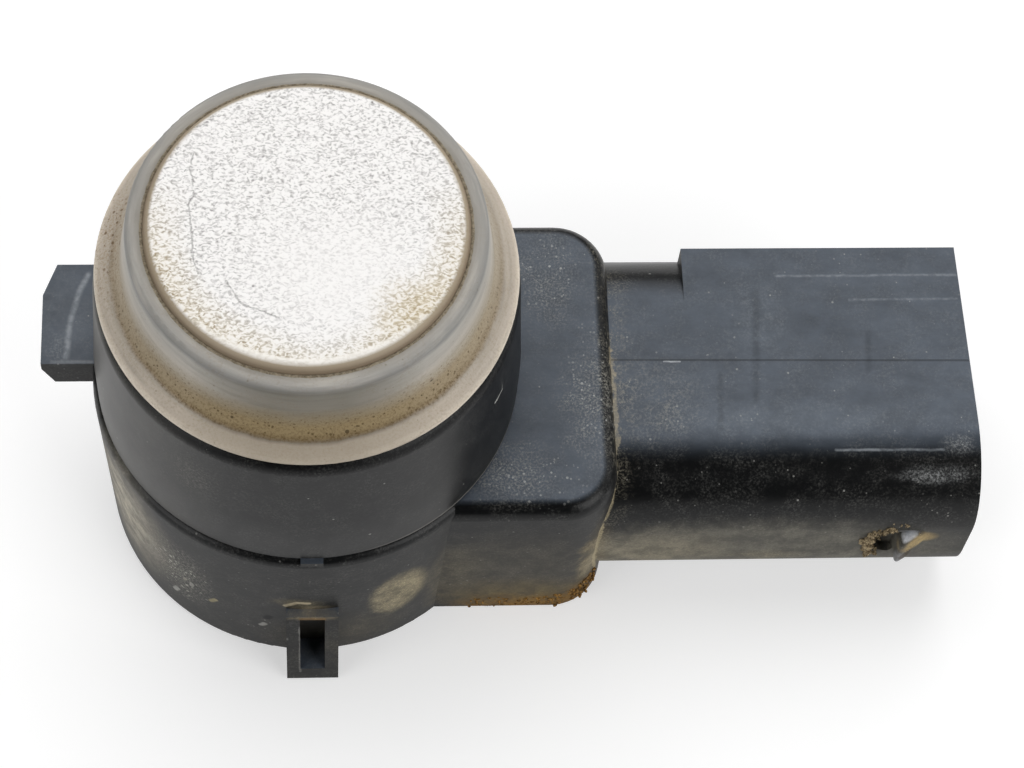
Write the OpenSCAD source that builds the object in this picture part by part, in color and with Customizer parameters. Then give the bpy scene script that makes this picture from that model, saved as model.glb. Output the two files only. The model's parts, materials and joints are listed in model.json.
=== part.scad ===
// Ultrasonic parking sensor for a bumper, lying on its back with its sensing face up.
// Millimetres. The origin is on the barrel's axis, in the plane of the housing's foot. +Z points
// out of the sensing face and +X points out of the connector socket.

/* [Housing] */
// Radius of the round base at its top
base_r = 11.15; // [10.8:0.05:12.5]
// Narrowing of the base towards its foot
base_draft = 0.3; // [0:0.02:0.4]
// Height of the base and of the box beside it
base_h = 13; // [12.8:0.1:16]
// Thickness of the housing's walls
wall = 1.6; // [1.4:0.1:1.8]
// Rounding of the round base's upper outer edge
edge_fillet = 0.62; // [0.3:0.02:0.9]
// Rounding of the lower outer edge
foot_fillet = 0.35; // [0.2:0.05:0.5]
// Distance from the barrel's axis to the box's end wall
box_x = 15.9; // [15.4:0.1:19]
// Width of the box
box_w = 17; // [16.6:0.1:18.5]
// Radius of the box's upright corners
box_corner_r = 2.8; // [2.4:0.1:3.4]
// Rounding of the box's upper outer edge
box_fillet = 1; // [0.5:0.05:1.2]

/* [Barrel neck] */
// Outer radius of the neck tube inside the retaining ring
neck_r = 9.5; // [9.2:0.05:9.55]
// Thickness of the neck tube
neck_wall = 0.8; // [0.6:0.05:0.9]
// Width of the ledge inside the neck tube
neck_ledge = 1.3; // [0.9:0.1:1.5]
// Height of that ledge above the base's top
neck_ledge_h = 4.2; // [3:0.1:5]

/* [Retaining ring] */
// Height of the ring above the base's top
ring_h = 10.2; // [9:0.1:12]
// Radius of the ring's lower band
ring_r = 10.9; // [10.6:0.05:11.1]
// Radius at the top of the tapered upper part
ring_top_r = 10.5; // [10.4:0.05:10.6]
// Height of the lower band
ring_band_h = 2.6; // [2:0.1:3.5]
// Rounding of the ring's upper edge
ring_round = 0.9; // [0.5:0.05:0.95]
// Height of the shadow gap under the band
ring_gap = 0.22; // [0.1:0.02:0.4]
// Depth of the shadow gap
ring_gap_depth = 0.5; // [0.3:0.05:0.6]

/* [Decoupling ring] */
// Radius of the flange
flange_r = 10.36; // [10.1:0.02:10.6]
// Thickness of the flange at its edge
flange_h = 0.75; // [0.6:0.05:1]
// Rise of the flange's top towards the lip
flange_rise = 0.42; // [0.3:0.02:0.7]
// Radius of the lip at its foot
lip_foot_r = 9; // [8.9:0.05:9.1]
// Radius of the lip at its top
lip_top_r = 8.66; // [8.6:0.02:8.8]
// Radius of the hollow between lip and flange
lip_hollow_r = 1.1; // [0.7:0.05:1.3]
// Rounding of the lip's upper edge
lip_round = 0.28; // [0.15:0.01:0.3]
// Height of the lip above the underside of the flange
lip_h = 4.76; // [4.2:0.02:5.4]
// Width of the inner foot under the transducer pot
pot_seat_w = 1.6; // [1.2:0.1:2]
// Thickness of that inner foot
pot_seat_h = 0.8; // [0.5:0.05:1.2]

/* [Transducer] */
// Radius of the aluminium pot
pot_r = 7.8; // [7.6:0.02:7.9]
// Height of the pot's face above the lip of the decoupling ring
pot_proud = 0.42; // [0.2:0.02:0.6]
// Rounding of the pot's front edge
pot_edge_r = 0.5; // [0.3:0.05:0.6]
// Thickness of the pot's face
pot_face_t = 0.7; // [0.5:0.05:1]
// Thickness of the pot's wall
pot_wall = 0.9; // [0.7:0.05:1.2]
// Radius of the piezo disc
piezo_r = 4.3; // [3:0.1:4.8]
// Thickness of the piezo disc
piezo_t = 0.45; // [0.3:0.05:0.7]
// Thickness of the damping foam
foam_t = 3.2; // [2:0.1:4]
// Thickness of the contact carrier
carrier_t = 1.2; // [0.8:0.1:1.4]
// Radius of the leads to the transducer
lead_r = 0.25; // [0.15:0.05:0.3]
// Distance of the signal lead from the barrel's axis
signal_lead_x = 2; // [1:0.1:2.6]
// Distance of the ground lead from the barrel's axis
ground_lead_x = 5.6; // [5.3:0.1:6]

/* [Connector] */
// Length of the shroud beyond the box
shroud_len = 19.05; // [18:0.05:24]
// Width of the shroud
shroud_w = 15.6; // [14.8:0.1:15.8]
// Height of the shroud
shroud_h = 11.7; // [11.2:0.1:12]
// Radius of the shroud's long edges
shroud_r = 4.4; // [3.5:0.1:5]
// Thickness of the shroud's wall
shroud_wall = 1.1; // [0.9:0.05:1.2]
// Height of the shroud above the plane of the foot
shroud_z = 0.6; // [0.3:0.1:0.8]
// Sideways offset of the shroud from the barrel's axis
shroud_y = 0.3; // [0:0.05:0.4]
// Depth of the socket
socket_depth = 13.5; // [11:0.1:14.5]
// Thickness of the wall that holds the pins
pin_wall = 1.6; // [1.2:0.1:2.2]
// Slant of the socket's mouth in degrees
mouth_slant = 1.5; // [0:0.1:3]
// Length of the coding key on the shroud's rear upper edge
coding_len = 15; // [10:0.1:16]
// Set-back of the coding key's outer face from the shroud's side
coding_inset = 0.95; // [0.6:0.05:1.2]
// Thickness of the terminal pins
pin_t = 0.6; // [0.5:0.02:0.64]
// Pitch of the terminal pins
pin_pitch = 3.6; // [2.6:0.1:4]
// Length of the pins inside the socket
pin_reach = 9; // [6:0.1:10.5]

/* [Latch nub] */
// Length of the nub's ramp
nub_len = 1.5; // [1.2:0.1:3]
// Height of the nub's catch above the shroud's side
nub_out = 0.95; // [0.6:0.05:1.4]
// Width of the nub along the shroud's side
nub_w = 2.7; // [1.4:0.1:3]
// Distance of the nub's catch from the socket's mouth
nub_from_mouth = 3.7; // [3.2:0.1:5]
// Radius of the pocket behind the nub's catch
nub_pocket_r = 1.35; // [1:0.05:1.4]
// Depth of that pocket
nub_pocket_depth = 0.5; // [0.3:0.05:0.6]

/* [Lugs] */
// Sideways offset of the channelled lugs and of the mark above them
lug_x = 0.1; // [0:0.05:0.3]
// Width of each channelled lug on the base
lug_w = 2.75; // [2.4:0.05:3.4]
// Height of the channelled lugs
lug_h = 6.5; // [5:0.1:8]
// Reach of the channelled lugs at their top
lug_top_out = 0.3; // [0.2:0.05:0.9]
// Reach of the channelled lugs at their foot
lug_foot_out = 1.35; // [1:0.05:1.8]
// Clearance under the channelled lugs
lug_lift = 0.2; // [0.1:0.05:0.6]
// Thickness of the lugs' ribs
lug_rib = 0.72; // [0.6:0.02:0.9]
// Thickness of the ledge over the lugs' channel
lug_ledge = 0.3; // [0.3:0.05:0.8]
// Thickness of the sill under the lugs' channel
lug_sill = 1; // [0.6:0.05:1.4]
// Depth of the channel into the base's wall
lug_channel_depth = 0.55; // [0.4:0.05:0.7]
// Width of the square mark in the base's rounded upper edge
mark_w = 1.15; // [0.8:0.05:1.6]
// Set-back of that mark from the base's side
mark_inset = 0.05; // [0.05:0.01:0.1]
// Distance of the keying lug's tip from the barrel's axis
tab_x = 13.8; // [13.2:0.1:15]
// Side of the keying lug nearest to the barrel's middle plane
tab_y0 = 0.2; // [0:0.1:0.8]
// Width of the keying lug
tab_w = 5.8; // [4.5:0.1:6.2]
// Thickness of the keying lug
tab_t = 2.1; // [1.8:0.1:3]
// Chamfer of the keying lug's far corner along its tip
tab_corner_w = 1.8; // [1:0.1:2.4]
// Chamfer of the keying lug's far corner along its side
tab_corner_x = 0.7; // [0.4:0.05:1]
// Height of the lead-in under the keying lug's tip
tab_lead_in_h = 1.5; // [0.8:0.1:1.6]
// Length of the lead-in under the keying lug's tip
tab_lead_in_x = 0.6; // [0.3:0.05:0.9]

/* [Rear cover] */
// Thickness of the rear cover
cover_t = 1.3; // [1:0.1:1.6]
// Set-back of the cover from the plane of the foot
cover_recess = 0.2; // [0.1:0.05:0.5]
// Width of the housing's rim round the cover
cover_rim = 1; // [0.9:0.05:1.1]
// Radius of the cover's board posts
post_r = 0.9; // [0.6:0.1:1.2]
// Height of the cover's board posts
post_h = 1.5; // [1.1:0.1:2]
// Direction of the two posts under the barrel, from the keying lug's side
post_angle = 37; // [30:1:50]

/* [Electronics] */
// Thickness of the circuit board
board_t = 1; // [0.8:0.1:1.6]
// Clear space between the pins and the parts beside them
part_gap = 0.8; // [0.6:0.05:1]
// Gap between the large parts and the board's long edges
edge_gap = 0.2; // [0.1:0.05:0.4]
// Distance of the pins from the board's far edge
pin_edge = 1.8; // [1.4:0.1:2.2]
// Length of pin that shows under the board
pin_tail = 0.5; // [0.3:0.05:0.8]
// Side of the driver chip
chip_w = 5; // [4:0.1:5.4]
// Height of the driver chip
chip_h = 1; // [0.8:0.1:1.4]
// Leads on each side of the driver chip
chip_leads = 8; // [4:1:8]
// Side of the transformer
trafo_w = 6; // [5:0.1:6.1]
// Height of the transformer
trafo_h = 4.8; // [4.4:0.1:5.2]
// Thickness of the transformer's ferrite and of its base
trafo_plate = 0.9; // [0.7:0.05:1.1]
// Length, width and height of the storage capacitor
tank_size = [3.5, 2.8, 1.9];
// Length, width and height of the protection diode
diode_size = [2.6, 1.8, 1.1];
// Length, width and height of a chip capacitor
cap_size = [0.8, 1.6, 0.8];
// Length, width and height of a chip resistor
res_size = [0.8, 1.6, 0.45];
// Pitch of the chip capacitors and of the chip resistors
row_pitch = 1.8; // [1.2:0.1:1.9]
// Distance of those rows from the board's edge
row_edge = 2.3; // [2:0.1:2.4]
// Distance of the storage capacitor and the diode from the board's edge
side_edge = 3.3; // [3:0.1:3.6]
// Direction of those two parts, from the keying lug's side
side_angle = 40; // [36:1:44]

/* [Fits] */
// Gap between round surfaces that slide together
fit_gap = 0.05; // [0.02:0.01:0.08]
// Gap round the cover and the leads
loose_gap = 0.1; // [0.08:0.01:0.15]
// Gap between the board and the housing's inner wall
board_gap = 0.3; // [0.2:0.05:0.4]

/* [Hidden] */
$fn = 96;
cut = 1;
slope_angle = 30;
row_count = 4;

// Levels along the barrel
cover_seat_z = cover_recess + cover_t;
board_z = cover_seat_z + post_h;
board_top = board_z + board_t;
roof_z = base_h - wall;
ledge_z = base_h + neck_ledge_h;
carrier_top = ledge_z + carrier_t;
pot_z = carrier_top + pot_seat_h;
ring_top = base_h + ring_h;
lip_top = ring_top + lip_h;
face_z = lip_top + pot_proud;
pot_roof = face_z - pot_face_t;
piezo_z = pot_roof - piezo_t;
foam_z = piezo_z - foam_t;
lead_end_z = board_z - pin_tail;

// Radii round the barrel
neck_bore_r = neck_r - neck_wall;
ledge_bore_r = neck_bore_r - neck_ledge;
sleeve_r = neck_bore_r - fit_gap;
ring_bore_r = neck_r + fit_gap;
pot_bore_r = pot_r + fit_gap;
pot_seat_r = pot_bore_r - pot_seat_w;
pot_inner_r = pot_r - pot_wall;
lead_hole_r = lead_r + loose_gap;
lead_places = [signal_lead_x, -ground_lead_x];

// Connector
mouth_x = box_x + shroud_len;
mouth_overcut = shroud_w;
socket_x = mouth_x - socket_depth;
shroud_top = shroud_z + shroud_h;
shroud_side = shroud_w / 2;
pin_z = shroud_z + shroud_h / 2;
pin_rows = [-pin_pitch, 0, pin_pitch];
coding_x = mouth_x - coding_len;
nub_x = mouth_x - nub_from_mouth;

// Places on the board
board_inset = wall + board_gap;
pin_drop_x = box_x - board_inset - pin_edge;
chip_lead_w = chip_w / chip_leads / 2;
chip_lead_out = 0.6;
chip_lead_t = 0.15;
board_side = box_w / 2 - board_inset;
board_r = base_r - board_inset;
chip_place = [pin_drop_x - part_gap - chip_lead_out - chip_w / 2, chip_w / 2 + edge_gap - board_side];
trafo_place = [pin_drop_x - part_gap - trafo_w / 2, board_side - edge_gap - trafo_w / 2];
side_r = board_r - side_edge;
tank_place = [-side_r * cos(side_angle), side_r * sin(side_angle)];
diode_place = [-side_r * cos(side_angle), -side_r * sin(side_angle)];
row_y = board_r - row_edge;
post_ring_r = board_r - post_r;
post_far_x = pin_drop_x - part_gap - post_r;
post_far_y = board_side - post_r - part_gap;
post_places = [
  for (s = [-1, 1]) [-post_ring_r * cos(post_angle), s * post_ring_r * sin(post_angle)],
  for (s = [-1, 1]) [post_far_x, s * post_far_y]
];

// Transformer
trafo_base = trafo_plate / 2;
trafo_flange = trafo_plate / 2;
trafo_spool_h = trafo_h - trafo_base - trafo_plate;
trafo_post_r = trafo_w / 6;
trafo_hub_r = trafo_post_r + trafo_plate / 2;
trafo_coil_r = trafo_w / 2 - trafo_plate - loose_gap;

// Upright half section from the axis to width w, rounded by fillet at its top, narrower at its foot by draft
module edge_section(w, fillet, draft = 0) {
  top = [w - fillet, base_h - fillet];
  foot = [w - draft - foot_fillet, foot_fillet];
  rise = top - foot;
  tilt = acos((foot_fillet - fillet) / norm(rise)) - atan2(rise[1], rise[0]);
  out = [cos(tilt), -sin(tilt)];
  polygon([[0, 0], [foot[0], 0], foot + foot_fillet * out, top + fillet * out, [top[0], base_h],
    [0, base_h]]);
  translate(top) circle(fillet);
  translate(foot) circle(foot_fillet);
}

// Rectangle with round corners, centred
module round_rect(w, h, r) {
  square([w - 2 * r, h], center = true);
  square([w, h - 2 * r], center = true);
  for (sx = [-1, 1], sy = [-1, 1]) translate([sx * (w / 2 - r), sy * (h / 2 - r)]) circle(r);
}

// Plan of the base and the box, drawn in from the outside by inset
module body_plan(inset) {
  along = box_x - box_corner_r;
  straight = box_w / 2 - box_corner_r;
  circle(base_r - inset);
  translate([0, -box_w / 2 + inset]) square([along, box_w - 2 * inset]);
  translate([0, -straight]) square([box_x - inset, 2 * straight]);
  for (s = [-1, 1]) translate([along, s * straight]) circle(box_corner_r - inset);
}

// Box beside the barrel with its edges rounded
module box_solid() {
  along = box_x - box_corner_r;
  straight = box_w / 2 - box_corner_r;
  rotate([90, 0, 90]) linear_extrude(along) {
    edge_section(box_w / 2, box_fillet);
    mirror([1, 0]) edge_section(box_w / 2, box_fillet);
  }
  translate([along, straight, 0]) {
    rotate([90, 0, 0]) linear_extrude(2 * straight) edge_section(box_corner_r, box_fillet);
    rotate_extrude(angle = 90) edge_section(box_corner_r, box_fillet);
  }
  translate([along, -straight, 0]) rotate([0, 0, -90]) rotate_extrude(angle = 90)
    edge_section(box_corner_r, box_fillet);
}

// Prism along X with the shroud's section drawn in by inset
module shroud_prism(x0, x1, inset) {
  translate([x0, shroud_y, pin_z]) rotate([90, 0, 90]) linear_extrude(x1 - x0)
    round_rect(shroud_w - 2 * inset, shroud_h - 2 * inset, shroud_r - inset);
}

// Space beyond the slanted mouth of the socket
module mouth_cut() {
  translate([mouth_x, shroud_y, 0]) rotate([0, 0, mouth_slant]) translate([0, -mouth_overcut, -cut])
    cube([mouth_overcut, 2 * mouth_overcut, base_h + 2 * cut]);
}

// Wedge that the plug's latch snaps over
module latch_nub() {
  root = shroud_wall / 2;
  translate([nub_x, shroud_y - shroud_side, pin_z - nub_w / 2]) linear_extrude(nub_w)
    polygon([[0, root], [0, -nub_out], [nub_len, 0], [nub_len, root]]);
}

// Round pocket behind the wedge that clears the latch's hook
module nub_pocket() {
  translate([nub_x, shroud_y - shroud_side - nub_out, pin_z]) rotate([-90, 90, 0])
    rotate_extrude(angle = 180) square([nub_pocket_r, nub_out + nub_pocket_depth]);
}

// Shroud of the socket with its coding key, still solid inside
module shroud_solid() {
  difference() {
    union() {
      shroud_prism(box_x - box_corner_r, mouth_x + cut, 0);
      translate([coding_x, shroud_y + shroud_side - shroud_r, shroud_top - shroud_r])
        cube([coding_len + cut, shroud_r - coding_inset, shroud_r]);
    }
    mouth_cut();
  }
  latch_nub();
}

// Lug with a sloping face in front of the base
module channel_lug() {
  root = -base_r + wall / 2;
  translate([lug_x - lug_w / 2, 0, 0]) rotate([90, 0, 90]) linear_extrude(lug_w)
    polygon([[root, lug_lift], [-base_r - lug_foot_out, lug_lift], [-base_r - lug_top_out, lug_h],
      [root, lug_h]]);
}

// Channel between the lug's two ribs, carried on into the base's wall
module lug_channel() {
  depth = lug_foot_out + lug_channel_depth + cut;
  translate([lug_x - lug_w / 2 + lug_rib, -base_r - lug_foot_out - cut, lug_lift + lug_sill])
    cube([lug_w - 2 * lug_rib, depth, lug_h - lug_lift - lug_sill - lug_ledge]);
}

// Keying lug opposite the connector, level with the base's top
module keying_lug() {
  root = -base_r + wall;
  under = base_h - tab_t;
  intersection() {
    translate([0, tab_y0, under]) linear_extrude(tab_t)
      polygon([[root, 0], [-tab_x, 0], [-tab_x, tab_w - tab_corner_w], [-tab_x + tab_corner_x, tab_w],
        [root, tab_w]]);
    translate([0, tab_y0 + tab_w, 0]) rotate([90, 0, 0]) linear_extrude(tab_w)
      polygon([[root, under], [-tab_x + tab_lead_in_x, under], [-tab_x, under + tab_lead_in_h],
        [-tab_x, base_h], [root, base_h]]);
  }
}

// Square mark in the base's rounded upper edge, over the front lug
module index_mark() {
  translate([lug_x - mark_w / 2, -base_r + mark_inset, base_h - edge_fillet])
    cube([mark_w, base_r - neck_r - mark_inset, edge_fillet]);
}

// One terminal pin: a straight blade with a leg bent down into the board
module pin_solid(row) {
  tip = socket_x + pin_reach;
  half = pin_t / 2;
  translate([0, shroud_y + pin_rows[row] + half, 0]) rotate([90, 0, 0]) linear_extrude(pin_t)
    polygon([[pin_drop_x, lead_end_z], [pin_drop_x + pin_t, lead_end_z], [pin_drop_x + pin_t, pin_z - half],
      [tip - pin_t, pin_z - half], [tip, pin_z - half / 2], [tip, pin_z + half / 2],
      [tip - pin_t, pin_z + half], [pin_drop_x, pin_z + half]]);
}

// One-piece moulding: base, box, neck tube, socket and lugs
module housing() {
  color([0.13, 0.14, 0.15]) difference() {
    union() {
      rotate_extrude() edge_section(base_r, edge_fillet, base_draft);
      box_solid();
      shroud_solid();
      cylinder(r = neck_r, h = ring_top);
      channel_lug();
      mirror([0, 1, 0]) channel_lug();
      keying_lug();
      index_mark();
    }
    translate([0, 0, -cut]) linear_extrude(cover_seat_z + cut) body_plan(cover_rim);
    linear_extrude(roof_z) body_plan(wall);
    cylinder(r = ledge_bore_r, h = ring_top + cut);
    translate([0, 0, ledge_z]) cylinder(r = neck_bore_r, h = ring_h);
    shroud_prism(box_x - wall - cut, socket_x - pin_wall, wall);
    shroud_prism(socket_x, mouth_x + mouth_overcut, shroud_wall);
    for (row = [0:len(pin_rows) - 1]) pin_solid(row);
    nub_pocket();
    lug_channel();
    mirror([0, 1, 0]) lug_channel();
  }
}

// Ring that clips over the neck tube and clamps the decoupling ring
module retaining_ring() {
  band_z = base_h + ring_gap;
  gap_r = ring_r - ring_gap_depth;
  shoulder = [ring_top_r - ring_round, ring_top - ring_round];
  color([0.1, 0.1, 0.11]) difference() {
    rotate_extrude() {
      polygon([[0, base_h], [gap_r, base_h], [gap_r, band_z], [ring_r, band_z], [ring_r, base_h + ring_band_h],
        [ring_top_r, shoulder[1]], [shoulder[0], ring_top], [0, ring_top]]);
      translate(shoulder) circle(ring_round);
    }
    translate([0, 0, base_h - cut]) cylinder(r = ring_bore_r, h = ring_h + 2 * cut);
  }
}

// Soft ring that carries the transducer: sleeve, flange and lip in one moulding
module decoupling_ring() {
  edge = flange_h / 2;
  edge_at = [flange_r - edge, ring_top + edge];
  slope_z = ring_top + flange_h + flange_rise;
  hollow = [lip_foot_r + lip_hollow_r, slope_z + lip_hollow_r * cos(slope_angle)];
  hollow_start = [hollow[0] - lip_hollow_r * sin(slope_angle), slope_z];
  shoulder = [lip_top_r - lip_round, lip_top - lip_round];
  color([0.68, 0.65, 0.6]) rotate_extrude() {
    difference() {
      polygon([[pot_seat_r, carrier_top], [sleeve_r, carrier_top], [sleeve_r, ring_top], [edge_at[0], ring_top],
        edge_at, [edge_at[0] + edge * sin(slope_angle), edge_at[1] + edge * cos(slope_angle)], hollow_start,
        [lip_foot_r, hollow[1]], [lip_top_r, shoulder[1]], [shoulder[0], lip_top], [pot_bore_r, lip_top],
        [pot_bore_r, pot_z], [pot_seat_r, pot_z]]);
      translate(hollow) circle(lip_hollow_r);
    }
    translate(edge_at) circle(edge);
    translate(shoulder) circle(lip_round);
  }
}

// Deep-drawn aluminium pot whose face is the sensing membrane
module transducer_pot() {
  shoulder = [pot_r - pot_edge_r, face_z - pot_edge_r];
  color([0.9, 0.89, 0.86]) rotate_extrude() difference() {
    union() {
      translate([0, pot_z]) square([shoulder[0], face_z - pot_z]);
      translate([0, pot_z]) square([pot_r, shoulder[1] - pot_z]);
      translate(shoulder) circle(pot_edge_r);
    }
    translate([0, pot_z - cut]) square([pot_inner_r, pot_roof - pot_z + cut]);
  }
}

module piezo_disc() {
  color([0.85, 0.8, 0.66]) translate([0, 0, piezo_z]) cylinder(r = piezo_r, h = piezo_t);
}

// Clear holes for both leads between two heights
module lead_holes(z0, z1) {
  for (x = lead_places) translate([x, 0, z0 - cut]) cylinder(r = lead_hole_r, h = z1 - z0 + 2 * cut);
}

// Disc of radius r between two heights with clear holes for both leads
module pierced_disc(r, z0, z1) {
  difference() {
    translate([0, 0, z0]) cylinder(r = r, h = z1 - z0);
    lead_holes(z0, z1);
  }
}

module damping_foam() {
  color([0.3, 0.3, 0.32]) pierced_disc(pot_inner_r - fit_gap, foam_z, piezo_z);
}

module pot_filler() {
  color([0.75, 0.72, 0.66]) pierced_disc(pot_inner_r - fit_gap, pot_z, foam_z);
}

// Disc under the transducer that keeps the two leads apart
module contact_carrier() {
  color([0.2, 0.2, 0.22]) pierced_disc(sleeve_r, ledge_z, carrier_top);
}

// Straight lead from height z1 down through the board
module lead(x, z1) {
  translate([x, 0, lead_end_z]) cylinder(r = lead_r, h = z1 - lead_end_z);
}

module signal_lead() {
  color("crimson") lead(signal_lead_x, piezo_z);
}

module ground_lead() {
  color("dimgray") lead(-ground_lead_x, pot_roof);
}

module supply_pin() {
  color("goldenrod") pin_solid(0);
}

module data_pin() {
  color("goldenrod") pin_solid(1);
}

module ground_pin() {
  color("goldenrod") pin_solid(2);
}

module circuit_board() {
  color([0.1, 0.35, 0.2]) difference() {
    translate([0, 0, board_z]) linear_extrude(board_t) body_plan(board_inset);
    lead_holes(board_z, board_top);
    for (row = [0:len(pin_rows) - 1]) pin_solid(row);
  }
}

// Driver chip with a row of leads on two sides
module driver_chip() {
  pitch = chip_w / chip_leads;
  color([0.16, 0.16, 0.17]) translate([chip_place[0] - chip_w / 2, chip_place[1] - chip_w / 2, board_top]) {
    cube([chip_w, chip_w, chip_h]);
    for (i = [0:chip_leads - 1]) translate([-chip_lead_out, i * pitch + (pitch - chip_lead_w) / 2, 0])
      cube([chip_w + 2 * chip_lead_out, chip_lead_w, chip_lead_t]);
  }
}

// Spool that carries the transformer's turns
module transformer_bobbin() {
  spool_top = trafo_base + trafo_spool_h;
  color([0.85, 0.85, 0.8]) translate([trafo_place[0], trafo_place[1], board_top]) difference() {
    union() {
      translate([-trafo_w / 2, -trafo_w / 2, 0]) cube([trafo_w, trafo_w, trafo_base]);
      cylinder(r = trafo_hub_r, h = spool_top);
      translate([0, 0, spool_top - trafo_flange]) cylinder(r = trafo_coil_r, h = trafo_flange);
    }
    translate([0, 0, trafo_base]) cylinder(r = trafo_post_r + fit_gap, h = trafo_h);
  }
}

module transformer_winding() {
  color("peru") translate([trafo_place[0], trafo_place[1], board_top + trafo_base]) difference() {
    cylinder(r = trafo_coil_r, h = trafo_spool_h - trafo_flange);
    translate([0, 0, -cut]) cylinder(r = trafo_hub_r, h = trafo_spool_h + 2 * cut);
  }
}

// Ferrite yoke: top plate, two legs and a round middle post
module transformer_core() {
  inside = trafo_w - 2 * trafo_plate;
  color([0.25, 0.24, 0.25]) translate([trafo_place[0], trafo_place[1], board_top + trafo_base]) {
    difference() {
      translate([-trafo_w / 2, -trafo_w / 2, 0]) cube([trafo_w, trafo_w, trafo_spool_h + trafo_plate]);
      translate([-trafo_w / 2 - cut, -inside / 2, -cut]) cube([trafo_w + 2 * cut, inside, trafo_spool_h + cut]);
    }
    cylinder(r = trafo_post_r, h = trafo_spool_h + trafo_plate / 2);
  }
}

// Block centred on a place on the board
module board_block(place, size) {
  translate([place[0] - size[0] / 2, place[1] - size[1] / 2, board_top]) cube(size);
}

// Row of equal blocks across the middle of the barrel
module board_row(y, size) {
  for (i = [0:row_count - 1]) board_block([(i - 1) * row_pitch, y], size);
}

module storage_capacitor() {
  color([0.85, 0.6, 0.2]) board_block(tank_place, tank_size);
}

module protection_diode() {
  color([0.15, 0.15, 0.16]) board_block(diode_place, diode_size);
}

module filter_capacitors() {
  color([0.7, 0.55, 0.4]) board_row(-row_y, cap_size);
}

module bias_resistors() {
  color([0.2, 0.2, 0.22]) board_row(row_y, res_size);
}

// Lid that closes the back of the housing and carries the board on posts
module rear_cover() {
  color([0.12, 0.12, 0.13]) {
    translate([0, 0, cover_recess]) linear_extrude(cover_t) body_plan(cover_rim + loose_gap);
    for (p = post_places) translate([p[0], p[1], cover_seat_z]) cylinder(r = post_r, h = post_h);
  }
}

housing();
retaining_ring();
decoupling_ring();
transducer_pot();
piezo_disc();
damping_foam();
pot_filler();
contact_carrier();
signal_lead();
ground_lead();
supply_pin();
data_pin();
ground_pin();
circuit_board();
driver_chip();
transformer_bobbin();
transformer_winding();
transformer_core();
storage_capacitor();
protection_diode();
filter_capacitors();
bias_resistors();
rear_cover();
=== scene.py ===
"""Worn parking sensor from a bumper: finishes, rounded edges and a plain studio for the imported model.

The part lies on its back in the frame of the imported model, with its sensing face up (+Z) and its socket
towards +X. Lengths in the classes below are millimetres, and the meshes are in metres.
"""

from __future__ import annotations

import json
import logging
import math
import random
from dataclasses import dataclass
from enum import Enum

import bpy
from mathutils import Matrix, Vector

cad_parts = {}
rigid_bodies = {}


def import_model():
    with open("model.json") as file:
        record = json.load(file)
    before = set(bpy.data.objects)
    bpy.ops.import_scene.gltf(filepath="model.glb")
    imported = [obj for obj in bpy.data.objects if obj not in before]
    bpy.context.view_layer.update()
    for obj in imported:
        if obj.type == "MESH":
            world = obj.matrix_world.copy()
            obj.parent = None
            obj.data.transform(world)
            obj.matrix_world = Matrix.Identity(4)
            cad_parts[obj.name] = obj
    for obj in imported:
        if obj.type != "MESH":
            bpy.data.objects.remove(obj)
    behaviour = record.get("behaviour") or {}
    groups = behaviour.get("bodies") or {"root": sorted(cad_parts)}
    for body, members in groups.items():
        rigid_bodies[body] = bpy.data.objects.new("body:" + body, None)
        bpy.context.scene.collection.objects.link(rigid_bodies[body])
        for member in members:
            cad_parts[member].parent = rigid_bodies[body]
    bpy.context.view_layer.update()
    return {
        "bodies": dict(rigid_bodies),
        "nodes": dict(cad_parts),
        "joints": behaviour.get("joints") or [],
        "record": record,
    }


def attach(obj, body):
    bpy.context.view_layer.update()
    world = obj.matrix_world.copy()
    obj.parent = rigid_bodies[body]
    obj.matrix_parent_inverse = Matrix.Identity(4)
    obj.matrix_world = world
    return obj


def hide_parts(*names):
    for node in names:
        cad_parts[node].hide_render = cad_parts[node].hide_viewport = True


LOG = logging.getLogger("parking_sensor")
MM = 0.001
Point = tuple[float, float, float]
Node = bpy.types.Node
Material = bpy.types.Material
Piece = bpy.types.Object


def linear(code: str) -> tuple[float, float, float, float]:
    """Turns an sRGB hex colour into linear RGBA.

    Args:
        code: Colour such as "#1a1b1d".

    Returns:
        Red, green, blue and an alpha of 1.
    """
    parts = [int(code[i : i + 2], 16) / 255 for i in (1, 3, 5)]
    return (*(c / 12.92 if c <= 0.04045 else ((c + 0.055) / 1.055) ** 2.4 for c in parts), 1.0)


def fill(tree: bpy.types.NodeTree, socket: bpy.types.NodeSocket, value: object) -> None:
    """Fills an input.

    Args:
        tree: Node tree of the input.
        socket: The input.
        value: A node, whose first output is linked, a socket or a plain value.
    """
    if isinstance(value, Node):
        value = next(s for s in value.outputs if s.enabled)
    if isinstance(value, bpy.types.NodeSocket):
        tree.links.new(value, socket)
    else:
        socket.default_value = value


def put(tree: bpy.types.NodeTree, kind: str, links: dict | tuple = (), **settings: object) -> Node:
    """Adds a node with its settings, and fills its inputs with links or values.

    Args:
        tree: Node tree that takes the node.
        kind: Node type without its ShaderNode prefix.
        links: Inputs by name or number, or a row of the first ones in order: nodes, sockets or plain values.
        **settings: Properties of the node.

    Returns:
        The new node.
    """
    node = tree.nodes.new(f"ShaderNode{kind}")
    for name, value in settings.items():
        setattr(node, name, value)
    for key, value in links.items() if isinstance(links, dict) else enumerate(links):
        named = (s for s in node.inputs if s.enabled and s.name == key)
        fill(tree, node.inputs[key] if isinstance(key, int) else next(named), value)
    return node


def select_only(*pieces: Piece) -> None:
    """Selects the given pieces and no others, and makes the first one active.

    Args:
        *pieces: The pieces.
    """
    bpy.ops.object.select_all(action="DESELECT")
    for piece in pieces:
        piece.select_set(True)
    bpy.context.view_layer.objects.active = pieces[0]


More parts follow.
